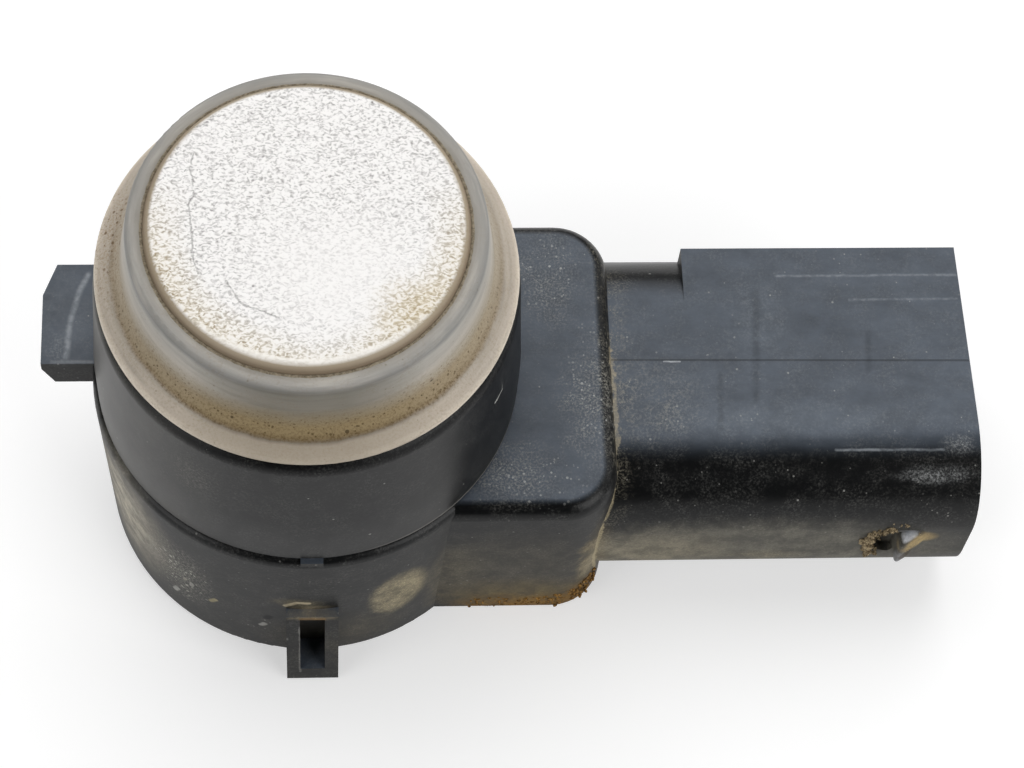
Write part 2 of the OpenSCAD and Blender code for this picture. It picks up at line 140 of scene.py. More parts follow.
class Slot(Enum):
    """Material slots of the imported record."""

    BLACK_PLASTIC = "black_plastic"
    COLLAR_PLASTIC = "collar_plastic"
    GREY_SILICONE = "grey_silicone"
    SILVER_PAINT = "silver_paint"
    PIEZO_CERAMIC = "piezo_ceramic"
    FOAM = "foam"
    POTTING = "potting"
    COPPER_WIRE = "copper_wire"
    TERMINAL_METAL = "terminal_metal"
    BOARD_LAMINATE = "board_laminate"
    CHIP_RESIN = "chip_resin"
    BOBBIN_PLASTIC = "bobbin_plastic"
    FERRITE = "ferrite"
    CAPACITOR_RESIN = "capacitor_resin"
    CAPACITOR_CERAMIC = "capacitor_ceramic"


class LampShape(Enum):
    """Shapes of a lamp's face, by Blender's names."""

    ROUND = "DISK"
    SQUARE = "SQUARE"


@dataclass(frozen=True)
class Deposit:
    """Patch of dust, dirt or rust on a surface.

    Attributes:
        colour: Its sRGB colour.
        centre: Its middle on the part.
        radii: Its half sizes along the three axes.
        cover: How much of the surface it hides in its middle.
        soft: Share of its radius over which it fades.
        grit: Share of it that is loose grains instead of film.
    """

    colour: str
    centre: Point
    radii: Point
    cover: float
    soft: float = 0.7
    grit: float = 0.5


@dataclass(frozen=True)
class Scratch:
    """Line scratched, worn or dusted along a row of points.

    Attributes:
        colour: Its sRGB colour.
        points: The points that it follows.
        width: Its width.
        cover: How much of the surface it hides.
        broken: Share of it that is worn away again.
        core: Share of its width that is at full cover.
    """

    colour: str
    points: tuple[Point, ...]
    width: float
    cover: float
    broken: float = 0.4
    core: float = 0.5


class Coat:
    """A finish while its layers are laid down, from the bare material to the dust on it."""

    # Road dust has grains of about 0.1 mm, and lies in drifts of a millimetre or two.
    GRAIN = 0.125
    DRIFT = 1.25
    # How far the drifts push the edge of a patch, in millimetres
    DRIFT_PUSH = 1.8
    # Largest reach of a patch, and how much of that push its edge then follows
    WANDER = ((1.7, 0.12), (4.0, 0.5), (math.inf, 1.0))
    # Share of a line's width at which it ends, and share of a speck's radius over which it fades
    LINE_END = 0.6
    SPECK_FADE = 0.25
    DUST_ROUGH = 0.85
    SCRATCH_ROUGH = 0.6

    def __init__(self, name: str, base: str, rough: float, ior: float = 1.5, metallic: float = 0.0) -> None:
        """Makes the material with its shader and the patterns that its layers share.

        Args:
            name: Name of the material.
            base: sRGB colour of the bare material.
            rough: Roughness of the bare material.
            ior: Index of refraction.
            metallic: Metallic share of the shader.
        """
        self.material = bpy.data.materials.new(name)
        self.material.use_nodes = True
        self.tree = self.material.node_tree
        self.shader = self.tree.nodes["Principled BSDF"]
        self.shader.inputs["IOR"].default_value = ior
        self.shader.inputs["Metallic"].default_value = metallic
        self.colour: object = linear(base)
        self.rough: object = rough
        source = self.put("TexCoord")
        self.at = self.put("VectorMath", {0: source.outputs["Object"], "Scale": 1 / MM}, operation="SCALE")
        self.x, self.y, self.z = self.put("SeparateXYZ", (self.at,)).outputs
        self.face_x, _, self.face_z = self.put("SeparateXYZ", (source.outputs["Normal"],)).outputs
        flat = self.put("VectorMath", (self.at, (1, 1, 0)), operation="MULTIPLY")
        self.radius = self.put("VectorMath", (flat,), operation="LENGTH")
        drift = self.put("TexNoise", {"Vector": self.at, "Scale": 1 / self.DRIFT, "Detail": 5.0, "Roughness": 0.7})
        centred = self.put("VectorMath", (drift.outputs["Color"], (0.5, 0.5, 0.5)), operation="SUBTRACT")
        shift = self.put("VectorMath", {0: centred, "Scale": self.DRIFT_PUSH}, operation="SCALE")
        self.ragged = self.put("VectorMath", (self.at, shift), operation="ADD")
        # Cloudy blotches of about 2 mm
        self.blotch = self.put("TexNoise", {"Vector": self.at, "Scale": 0.45, "Detail": 5.0, "Roughness": 0.6})
        grain = self.put("TexNoise", {"Vector": self.at, "Scale": 1 / self.GRAIN, "Detail": 3.0, "Roughness": 0.75})
        self.grains = self.put("MapRange", (grain, 0.46, 0.7))
        self.drifts = self.put("MapRange", (drift, 0.4, 0.64))

    def put(self, kind: str, links: dict | tuple = (), **settings: object) -> Node:
        """Adds a node to this finish's tree, as the function of the same name does."""
        return put(self.tree, kind, links, **settings)

    def lay(self, masks: object, colour: str, cover: float, rough: float | None = None) -> None:
        """Lays a layer over what is there.

        Args:
            masks: Where it lies, from 0 to 1, or a row of masks whose shared places it covers.
            colour: Its sRGB colour.
            cover: How much it hides at a mask of 1.
            rough: Its roughness, if it has its own.
        """
        mask = self.meet(*masks) if isinstance(masks, tuple) else masks
        share = self.put("Math", (mask, cover), operation="MULTIPLY", use_clamp=True)
        self.colour = self.put("Mix", {"Factor": share, "A": self.colour, "B": linear(colour)}, data_type="RGBA")
        if rough is not None:
            self.rough = self.put("Mix", {"Factor": share, "A": self.rough, "B": rough})

    def meet(self, first: object, *others: object) -> Node:
        """Gives the mask of the places that the given masks share.

        Args:
            first: One mask.
            *others: The other masks.

        Returns:
            Node with the mask.
        """
        for other in others:
            first = self.put("Math", (first, other), operation="MULTIPLY", use_clamp=True)
        return first

    def patch(self, centre: Point, radii: Point, soft: float, wander: float = 1.0) -> Node:
        """Gives the mask of an uneven patch.

        Args:
            centre: Its middle.
            radii: Its half sizes along the three axes.
            soft: Share of its radius over which it fades.
            wander: How much of the uneven drift its edge follows.

        Returns:
            Node with the mask.
        """
        track = self.put("Mix", {"Factor": wander, "A": self.at, "B": self.ragged}, data_type="VECTOR")
        away = self.put("VectorMath", (track, centre), operation="SUBTRACT")
        scaled = self.put("VectorMath", (away, radii), operation="DIVIDE")
        reach = self.put("VectorMath", (scaled,), operation="LENGTH")
        return self.put("MapRange", (reach, 1.0, 1.0 - soft), interpolation_type="SMOOTHSTEP")

    def line(self, points: tuple[Point, ...], width: float, wander: float = 0.12, core: float = 0.5) -> Node:
        """Gives the mask of a line along a row of points.

        Args:
            points: The points.
            width: Width of the line.
            wander: How much of the uneven drift the line follows.
            core: Share of its width that is at full cover.

        Returns:
            Node with the mask.
        """
        track = self.put("Mix", {"Factor": wander, "A": self.at, "B": self.ragged}, data_type="VECTOR")
        found: object = None
        for start, end in zip(points, points[1:]):
            run = Vector(end) - Vector(start)
            away = self.put("VectorMath", (track, start), operation="SUBTRACT")
            share = self.put("VectorMath", (away, run / run.length_squared), operation="DOT_PRODUCT")
            held = self.put("Math", (share, 1.0), operation="MULTIPLY", use_clamp=True)
            foot = self.put("VectorMath", {0: run, "Scale": held}, operation="SCALE")
            gap = self.put("VectorMath", (away, foot), operation="DISTANCE")
            found = gap if found is None else self.put("Math", (found, gap), operation="MINIMUM")
        reach = width * self.LINE_END
        return self.put("MapRange", (found, reach, reach * core), interpolation_type="SMOOTHSTEP")

    def specks(self, pitch: float, size: float, keep: float) -> Node:
        """Gives the mask of separate round specks.

        Args:
            pitch: Mean distance between the places that can hold a speck.
            size: Radius of the largest speck.
            keep: Share of the places that hold one.

        Returns:
            Node with the mask.
        """
        cells = self.put("TexVoronoi", {"Vector": self.at, "Scale": 1 / pitch})
        pick = self.put("SeparateColor", (cells.outputs["Color"],))
        limit = self.put("MapRange", (pick, 1.0 - keep, 1.0, 0.0, size / pitch))
        spare = self.put("Math", (limit, cells.outputs["Distance"]), operation="SUBTRACT")
        return self.put("MapRange", (spare, 0.0, self.SPECK_FADE * size / pitch))

    def soil(self, deposits: tuple[Deposit, ...]) -> None:
        """Lays patches of dust and dirt, partly film and partly loose grains.

        Args:
            deposits: The patches, from the lowest to the topmost.
        """
        uneven = self.put("MapRange", (self.drifts, 0.0, 1.0, 0.45))
        for deposit in deposits:
            reach = max(deposit.radii)
            wander = next(share for limit, share in self.WANDER if reach < limit)
            area = self.meet(self.patch(deposit.centre, deposit.radii, deposit.soft, wander), uneven)
            film = self.put("MapRange", (self.grains, 0.0, 1.0, 1.0 - deposit.grit))
            self.lay((area, film), deposit.colour, deposit.cover, self.DUST_ROUGH)

    def scratch(self, scratches: tuple[Scratch, ...]) -> None:
        """Draws scratched, worn and dusted lines.

        Args:
            scratches: The lines, from the lowest to the topmost.
        """
        # The wear comes and goes about every half millimetre.
        noise = self.put("TexNoise", {"Vector": self.at, "Scale": 2.2, "Detail": 3.0, "Roughness": 0.65})
        worn = self.put("MapRange", (noise, 0.4, 0.58))
        for mark in scratches:
            kept = self.put("MapRange", (worn, 0.0, 1.0, 1.0 - mark.broken))
            area = self.line(mark.points, mark.width, core=mark.core)
            self.lay((area, kept), mark.colour, mark.cover, self.SCRATCH_ROUGH)

    def emboss(self, height: object, depth: float, strength: float) -> None:
        """Adds relief to the surface.

        Args:
            height: Node with the height, from 0 to 1.
            depth: Depth between 0 and 1.
            strength: Strength of the effect.
        """
        self.relief = self.put("Bump", {"Height": height, "Distance": depth * MM, "Strength": strength})

    def done(self) -> Material:
        """Links the layers to the shader.

        Returns:
            The finished material.
        """
        for name, value in (("Base Color", self.colour), ("Roughness", self.rough), ("Normal", self.relief)):
            fill(self.tree, self.shader.inputs[name], value)
        return self.material


class MouldedPolyamide:
    """Glass-filled polyamide, injection moulded and years on the road.

    Bare, it is a deep black with a soft sheen and a fine grain. A bluish haze films the faces that look up, partly
    dust and partly a painted bluish sheen; pale grit is strewn over all of it, tan soil sits in the creases, and
    rusty soil has dried at the foot of the box.
    """

    DEPOSITS = (
        # Soil dried on the front of the box, along its foot and up its corner
        Deposit("#857f72", (10.6, -8.5, 5.6), (6.8, 1.4, 6.2), 0.46, 0.8, 0.4),
        Deposit("#8c7c58", (11.4, -8.5, 1.8), (6.2, 1.4, 3.2), 0.8, 0.9, 0.3),
        Deposit("#ad7f33", (12.4, -8.5, 0.6), (5.6, 1.2, 1.9), 0.95, 0.9, 0.5),
        Deposit("#a4926c", (15.0, -7.6, 5.4), (1.3, 1.7, 5.0), 0.85, 0.9, 0.4),
        Deposit("#86622c", (14.7, -7.9, 1.3), (2.0, 1.6, 2.1), 0.95, 0.8, 0.6),
        # Oval of dried mud on the base
        Deposit("#cabd9c", (4.7, -9.93, 6.2), (2.0, 1.8, 3.2), 0.95, 0.45, 0.5),
        # Dust on the base's left side, and loose grit beside it
        Deposit("#e2dac8", (-9.6, -5.4, 7.4), (3.8, 5.6, 7.6), 0.95, 0.9, 0.2),
        Deposit("#a9a498", (-7.2, -8.2, 6.6), (3.4, 3.0, 5.4), 0.45, 0.9, 0.9),
        Deposit("#8f8670", (2.6, -10.8, 2.6), (6.5, 1.8, 3.4), 0.4, 0.9, 0.6),
        Deposit("#8f8670", (7.4, -8.6, 5.0), (2.6, 2.2, 5.0), 0.4, 0.9, 0.5),
        # Soil above the front lug, on its ledge and at the top of its channel
        Deposit("#a3977e", (0.1, -11.3, 6.6), (1.9, 0.8, 0.5), 0.75, 0.7, 0.4),
        Deposit("#958a6e", (-0.7, -11.0, 7.3), (1.8, 0.8, 0.9), 0.6, 0.8, 0.5),
        Deposit("#7a6541", (0.1, -11.2, 6.1), (0.8, 0.5, 0.6), 0.5, 0.8, 0.4),
        # Soil on the connector's side
        Deposit("#9b978a", (24.0, -7.4, 5.2), (14.0, 1.8, 4.6), 0.62, 0.5, 0.3),
        Deposit("#aaa18b", (18.4, -7.3, 5.2), (5.4, 1.6, 4.0), 0.8, 0.8, 0.4),
        Deposit("#aea388", (24.4, -7.4, 4.6), (3.0, 1.2, 1.0), 0.6, 0.8, 0.7),
        # Latch nub: painted shade in the pocket behind it, tan soil on its ramp, painted light on its top face and on
        # the lower part of its catch face, and a dark brown spot on its ramp
        Deposit("#241b0f", (30.35, -7.4, 6.4), (0.85, 0.9, 1.7), 0.95, 0.4, 0.2),
        Deposit("#d8bd84", (32.4, -7.9, 7.0), (1.4, 0.9, 0.9), 1.0, 0.5, 0.3),
        Deposit("#d4d6da", (31.8, -7.9, 7.8), (1.0, 0.6, 0.25), 0.85, 0.6, 0.3),
        Deposit("#b4b5b7", (31.3, -8.3, 5.4), (0.7, 0.6, 1.5), 0.95, 0.5, 0.3),
        Deposit("#3a2a14", (31.75, -8.1, 6.0), (0.6, 0.5, 0.5), 1.0, 0.5, 0.1),
        # Handling scuffs near the mouth, and dust and a darker patch on the connector's top
        Deposit("#b4b6b6", (33.9, -4.4, 12.0), (1.3, 0.8, 0.6), 0.7, 0.9, 0.9),
        Deposit("#b4b6b6", (32.6, -5.8, 11.3), (2.8, 0.7, 0.7), 0.85, 0.9, 0.9),
        Deposit("#8f979f", (24.0, 2.8, 12.3), (2.2, 3.0, 0.8), 0.3, 0.9, 0.6),
        Deposit("#8f979f", (25.0, -3.0, 12.3), (10.0, 1.4, 0.8), 0.28, 0.9, 0.5),
        Deposit("#23272c", (27.2, 2.6, 12.3), (2.6, 1.6, 0.8), 0.4, 0.9, 0.2),
        Deposit("#a6a398", (18.2, -2.0, 12.3), (3.2, 3.6, 0.9), 0.5, 0.9, 1.0),
        # Dust blown against the collar and the crease on the box's top
        Deposit("#b2b1aa", (10.4, -6.2, 13.0), (3.4, 2.6, 0.9), 0.8, 0.9, 1.0),
        Deposit("#b2b1aa", (14.6, -2.0, 12.9), (2.2, 5.0, 1.2), 0.8, 0.9, 1.0),
        Deposit("#b2b1aa", (12.6, 5.0, 13.0), (2.6, 4.0, 0.9), 0.6, 0.9, 1.0),
        # Dust on the left lug and at its corner
        Deposit("#8f959c", (-12.4, 3.0, 13.0), (2.2, 4.0, 0.6), 0.36, 0.9, 0.2),
        Deposit("#9a9fa3", (-13.0, 1.1, 13.0), (0.9, 1.0, 0.5), 0.6, 0.8, 0.9),
    )
    # The joint of box and connector, from the back over the top and down the front
    CREASE = (
        (15.9, 7.0, 12.25),
        (15.9, 1.1, 12.35),
        (15.9, -2.1, 12.35),
        (15.9, -4.6, 12.15),
        (15.88, -5.6, 11.6),
        (15.75, -6.3, 11.0),
        (15.5, -7.0, 9.9),
        (15.25, -7.45, 8.6),
        (15.2, -7.55, 5.0),
        (15.3, -7.2, 2.4),
    )
    SCRATCHES = (
        # Handling scratches along the connector
        Scratch("#a6acb2", ((25.0, 5.46, 12.3), (34.7, 5.48, 12.3)), 0.2, 0.34, 0.6, 0.0),
        Scratch("#a6acb2", ((28.8, 4.0, 12.3), (34.6, 4.04, 12.3)), 0.2, 0.28, 0.7, 0.0),
        Scratch("#c4c8cc", ((18.65, 0.42, 12.3), (19.5, 0.42, 12.3)), 0.1, 0.7, 0.4),
        Scratch("#a6acb2", ((27.4, -4.64, 12.02), (33.1, -4.69, 12.0)), 0.18, 0.45, 0.5, 0.1),
        # Dark rub marks across its top
        Scratch("#0b0c0d", ((23.83, 4.45, 12.3), (23.38, -1.8, 12.3)), 0.6, 0.3, 0.4, 0.0),
        Scratch("#0b0c0d", ((29.65, 2.1, 12.3), (29.45, -0.2, 12.3)), 0.5, 0.26, 0.4, 0.0),
        Scratch("#0b0c0d", ((21.6, -0.4, 12.3), (21.4, -3.4, 12.3)), 0.5, 0.26, 0.5, 0.0),
        # Pale arc on the left lug's top
        Scratch(
            "#b7bcc1",
            ((-11.5, 5.4, 13.0), (-11.9, 4.5, 13.0), (-12.35, 2.7, 13.0), (-12.5, 0.6, 13.0)),
            width=0.42,
            cover=0.5,
            broken=0.5,
            core=0.0,
        ),
        # Soil above the front lug and along the connector's foot
        Scratch("#b9ac90", ((-1.3, -10.95, 6.9), (-0.7, -11.0, 7.4), (-0.1, -11.0, 7.35)), 0.34, 0.8),
        Scratch("#b0a58c", ((16.0, -7.0, 3.6), (24.5, -7.1, 3.6)), 0.5, 0.6, 0.5),
        # Rubbed edge of the left lug
        Scratch("#a9acae", ((-13.2, 0.32, 13.0), (-11.2, 0.32, 13.0)), 0.28, 0.4, 0.4, 0.0),
        # Painted highlight on the inner edge of the front lug's left rib, and soil at the top of its channel
        Scratch("#8d8c88", ((-0.57, -11.65, 5.5), (-0.57, -12.4, 0.9)), 0.16, 0.6, 0.4, 0.2),
        Scratch("#8a6a3c", ((-0.5, -11.45, 6.3), (0.7, -11.45, 6.3)), 0.36, 0.6, 0.4, 0.0),
        # Painted highlight along the ridge of the latch nub
        Scratch("#d2cec4", ((31.35, -8.4, 7.75), (32.6, -7.65, 7.75)), 0.22, 0.8, 0.3, 0.3),
    )
    # Bare chips and clots on the base and the front lug, and a near-black dot painted as the shade of a small pit
    CHIPS = (
        Scratch("#b9b8b2", ((-7.3, -8.25, 2.5), (-7.15, -8.35, 3.0)), 0.42, 0.8, 0.3),
        Scratch("#b0aea6", ((-6.3, -9.03, 5.0), (-6.25, -9.05, 5.4)), 0.3, 0.7, 0.3),
        Scratch("#a8a496", ((-6.65, -8.8, 5.3), (-6.55, -8.85, 5.6)), 0.25, 0.6, 0.3),
        Scratch("#b0a57f", ((-5.3, -9.65, 4.3), (-5.0, -9.8, 4.9)), 0.34, 0.75, 0.4),
        Scratch("#a8a7a1", ((-2.65, -10.68, 3.3), (-2.45, -10.72, 3.6)), 0.4, 0.8, 0.2),
        Scratch("#08080a", ((-2.3, -10.77, 4.6), (-2.2, -10.78, 4.85)), 0.5, 0.9, 0.0),
        Scratch("#c4c4bf", ((-1.25, -12.0, 4.3), (-1.15, -11.95, 5.0)), 0.34, 0.8, 0.2),
    )
    # Loose grit on the base, and dust blown against the collar and the crease: middle and half sizes
    LOOSE = ((-7.0, -8.5, 6.0), (3.0, 2.6, 4.8))
    BLOWN = (
        ((11.6, -6.4, 13.0), (4.0, 2.4, 1.0)),
        ((14.8, -1.4, 12.9), (2.2, 5.2, 1.4)),
        ((12.6, 5.4, 13.0), (2.4, 3.6, 1.0)),
    )
    # Line that the two halves of the mould leave along the connector
    PARTING = ((15.9, 0.54, 12.3), (34.9, 0.36, 12.3))
    # The moulded grain
    GRAIN = 0.25
    GRAIN_DEPTH = 0.012

    def make(self) -> Material:
        """Builds the material.

        Returns:
            The finished material.
        """
        coat = Coat("polyamide_glass_filled_moulded", "#090a0b", 0.3, 1.53)
        # The glass fibres near the surface break up its sheen.
        coat.shader.inputs["Specular IOR Level"].default_value = 0.2
        # The haze lies on what faces up, drawn out along the connector: partly dust and partly a painted bluish
        # sheen.
        tilt = coat.put("MapRange", (coat.face_z, 0.85, 0.99))
        up = coat.put("Math", (tilt, 3.0), operation="POWER")
        drawn = coat.put("VectorMath", (coat.at, (0.6, 1.0, 1.0)), operation="MULTIPLY")
        cloud = coat.put("TexNoise", {"Vector": drawn, "Scale": 0.7, "Detail": 7.0, "Roughness": 0.7})
        haze = coat.put("MapRange", (cloud, 0.3, 0.7, 0.6))
        coat.lay((up, haze), "#8a96a6", 0.355, 0.5)
        # Upright walls are duller, with a thin film of soil that thickens downwards.
        upright = coat.put("MapRange", (coat.face_z, 0.4, 0.1))
        low = coat.put("MapRange", (coat.z, 14.0, 2.0))
        cloudy = coat.put("MapRange", (coat.drifts, 0.0, 1.0, 0.4))
        coat.rough = coat.put("Mix", {"Factor": upright, "A": coat.rough, "B": 0.5})
        coat.lay((upright, low, cloudy), "#8f8877", 0.04, 0.6)
        # Pale grit strewn over all of it, then the patches of soil and the loose grit on them
        coat.lay((coat.grains, coat.drifts), "#b0afaa", 0.13, 0.8)
        coat.lay((coat.specks(0.3, 0.075, 0.35), coat.drifts), "#b9b8b3", 0.5, 0.8)
        coat.soil(self.DEPOSITS)
        loose = coat.patch(*self.LOOSE, 0.8)
        coat.lay((loose, coat.specks(0.26, 0.13, 0.6)), "#c4c2b8", 0.8, 0.9)
        coat.lay((loose, coat.grains), "#c4c2b8", 0.5, 0.9)
        blown = coat.patch(*self.BLOWN[0], 0.9)
        for patch in self.BLOWN[1:]:
            blown = coat.put("Math", (blown, coat.patch(*patch, 0.9)), operation="MAXIMUM")
        coat.lay((blown, coat.specks(0.2, 0.085, 0.5)), "#c2c2be", 0.6, 0.85)
        # Soil in the crease, thick down the front and broken on the top, with grit strewn along it
        crease = coat.line(self.CREASE[4:], 0.3, 0.3)
        gritty = coat.put("MapRange", (coat.grains, 0.0, 1.0, 0.5))
        coat.lay((crease, gritty), "#c2b596", 0.95, 0.9)
        dusted = coat.line(self.CREASE[1:6], 0.34, 0.6)
        coat.lay((dusted, gritty), "#b3a78d", 0.8, 0.9)
        near = coat.line(self.CREASE, 2.6, 0.7, 0.0)
        coat.lay((near, coat.grains, coat.drifts), "#aea690", 0.6, 0.85)
        # Scratches, chips and the mould's parting line
        coat.scratch(self.SCRATCHES)
        coat.scratch(self.CHIPS)
        coat.lay(coat.line(self.PARTING, 0.13, 0.0), "#060708", 0.5)
        skin = coat.put("TexNoise", {"Vector": coat.at, "Scale": 1 / self.GRAIN, "Detail": 3.0})
        coat.emboss(skin, self.GRAIN_DEPTH, 0.6)
        return coat.done()


class MouldedCollarPlastic:
    """Polybutylene terephthalate, moulded smooth.

    It is blacker than the housing, paler on its lower part, with a left side paler partly from dust and partly from
    painted light, a painted highlight along its lower edge at the right, and two bare scratches.
    """

    SCRATCHES = (
        Scratch("#b5b5b0", ((10.05, -3.7, 21.0), (9.8, -4.3, 20.7)), 0.2, 0.85, 0.3),
        Scratch("#b5b5b0", ((9.6, -4.8, 21.0), (9.65, -4.75, 19.8), (9.25, -5.4, 19.75)), 0.24, 0.85, 0.3),
    )

    def make(self) -> Material:
        """Builds the material.

        Returns:
            The finished material.
        """
        coat = Coat("polyester_collar_moulded", "#09090a", 0.36, 1.5)
        # The fine pores of the mould's skin swallow part of its sheen.
        coat.shader.inputs["Specular IOR Level"].default_value = 0.17
        # Paler low down, and the left side paler, partly dust and partly painted light
        low = coat.put("MapRange", (coat.z, 17.5, 13.6))
        haze = coat.put("MapRange", (coat.blotch, 0.3, 0.7, 0.4))
        coat.lay((low, haze), "#8a8a88", 0.04, 0.5)
        left = coat.put("MapRange", (coat.face_x, -0.4, -1.0))
        coat.lay((left, haze), "#9a968e", 0.24, 0.6)
        # Strewn grit, thicker at the front left
        coat.lay((coat.grains, coat.drifts), "#a5a5a0", 0.12, 0.8)
        dull = coat.patch((-5.6, -8.8, 19.4), (2.2, 2.4, 2.6), 0.9)
        coat.lay((dull, coat.grains), "#8d8b84", 0.4, 0.8)
        coat.lay(coat.specks(0.6, 0.09, 0.25), "#a5a5a0", 0.6, 0.8)
        # Painted highlight along the lower edge at the right, and the two scratches
        rim = coat.put("MapRange", (coat.z, 13.42, 13.3))
        right = coat.put("MapRange", (coat.face_x, 0.2, 0.5))
        coat.lay((rim, right), "#8f8d88", 0.6, 0.6)
        coat.scratch(self.SCRATCHES)
        # Moulded grain of a fifth of a millimetre
        skin = coat.put("TexNoise", {"Vector": coat.at, "Scale": 1 / 0.2, "Detail": 2.0})
        coat.emboss(skin, 0.006, 0.5)
        return coat.done()


class MouldedSilicone:
    """Grey silicone rubber, moulded.

    A soft dull grey, drawn in faint rings round its axis. Brown road dirt has settled in the hollow at the lip's
    foot, most of all at the front, with a dark line where the hollow meets the flange. Its thin edge carries a
    painted highlight, the flange is painted paler at the front as painted light, and the lip's foremost wall is
    darker, partly dirt and partly painted shade.
    """

    # Colours along the clean section from the flange's edge, over the slope and up the lip: height less radius. The
    # pale stop at the flange's thin edge is a painted highlight.
    BANDS = (
        (13.05, "#a9a194"),
        (13.3, "#eadfce"),
        (13.55, "#cfc4b4"),
        (13.85, "#b9aea0"),
        (14.6, "#afa597"),
        (15.2, "#aba49a"),
        (16.6, "#b8b2a7"),
        (17.6, "#bdb7ad"),
        (18.7, "#b1aea7"),
        (19.1, "#8c8b88"),
        (19.5, "#95938e"),
        (19.8, "#9e9a93"),
        (20.1, "#8d887e"),
    )

    def make(self) -> Material:
        """Builds the material.

        Returns:
            The finished material.
        """
        coat = Coat("silicone_rubber_moulded", "#9a958b", 0.55, 1.42)
        first, last = self.BANDS[0][0], self.BANDS[-1][0]
        path = coat.put("Math", (coat.z, coat.radius), operation="SUBTRACT")
        sway = coat.put("MapRange", (coat.blotch, 0.0, 1.0, -0.3, 0.3))
        moved = coat.put("Math", (path, sway), operation="ADD")
        share = coat.put("MapRange", (moved, first, last))
        ramp = coat.put("ValToRGB", (share,))
        stops = ramp.color_ramp.elements
        while len(stops) < len(self.BANDS):
            stops.new(0.5)
        for stop, (spot, colour) in zip(stops, self.BANDS):
            stop.position = (spot - first) / (last - first)
            stop.color = linear(colour)
        coat.colour = ramp
        # Rings of a few tenths of a millimetre that run a long way round the axis
        front = coat.put("Math", (coat.y, coat.radius), operation="DIVIDE")
        side = coat.put("Math", (coat.x, coat.radius), operation="DIVIDE")
        ring = coat.put("CombineXYZ", (path, front, side))
        rings = coat.put("TexNoise", {"Vector": ring, "Scale": 2.4, "Detail": 3.0, "Roughness": 0.6})
        pale = coat.put("MapRange", (rings, 0.52, 0.72))
        dim = coat.put("MapRange", (rings, 0.48, 0.28))
        coat.lay(pale, "#cfc8bd", 0.3)
        coat.lay(dim, "#75726c", 0.3)
        # The dirt grows towards the front. The lip's foremost wall is darkened, partly dirt and partly painted shade.
        dirty = coat.put("MapRange", (front, 0.7, -0.9))
        foremost = coat.put("MapRange", (front, -0.78, -0.98))
        wall = coat.put("MapRange", (path, 19.4, 18.9))
        coat.lay((foremost, wall), "#4f4a3a", 0.66, 0.7)
        # Brown dirt in the hollow at the lip's foot, with darker grains in it
        start = coat.put("MapRange", (moved, 14.7, 15.0))
        finish = coat.put("MapRange", (moved, 17.5, 15.8))
        slope = coat.meet(start, finish, dirty)
        coat.lay(slope, "#9f895e", 0.75, 0.8)
        coat.lay((slope, coat.grains), "#5b4826", 0.5, 0.9)
        coat.lay((slope, coat.specks(0.17, 0.08, 0.55)), "#4a3618", 0.7, 0.9)
        coat.lay((slope, coat.specks(0.45, 0.12, 0.25)), "#33240f", 0.75, 0.9)
        # Soil caked at the left, and grains strewn over the dirty side
        caked = coat.patch((-9.6, 1.6, 24.2), (1.4, 5.4, 1.5), 0.9)
        coat.lay((caked, coat.grains), "#8a6b3c", 0.6, 0.9)
        coat.lay((caked, coat.specks(0.2, 0.1, 0.6)), "#5d4220", 0.8, 0.9)
        coat.lay((dirty, coat.grains, coat.drifts), "#7d6a4c", 0.35, 0.9)
        # Dark line where the hollow meets the flange
        begin = coat.put("MapRange", (moved, 14.6, 14.85))
        cease = coat.put("MapRange", (moved, 15.3, 15.05))
        gritty = coat.put("MapRange", (coat.grains, 0.0, 1.0, 0.35))
        coat.lay((begin, cease, dirty, gritty), "#5d482c", 0.75, 0.9)
        # Flange painted paler at the front as painted light, with grains and specks on it
        painted_front_light = coat.put("MapRange", (front, -0.55, -0.95))
        outer = coat.put("MapRange", (moved, 14.8, 14.5))
        coat.lay((painted_front_light, outer), "#dccdb9", 0.42)
        coat.lay((outer, coat.grains), "#8f7d63", 0.25)
        coat.lay((dirty, coat.specks(0.4, 0.07, 0.35)), "#6a5a44", 0.4, 0.8)
        # Moulded grain of a sixth of a millimetre
        skin = coat.put("TexNoise", {"Vector": coat.at, "Scale": 6.0, "Detail": 3.0})
        coat.emboss(skin, 0.01, 0.5)
        return coat.done()


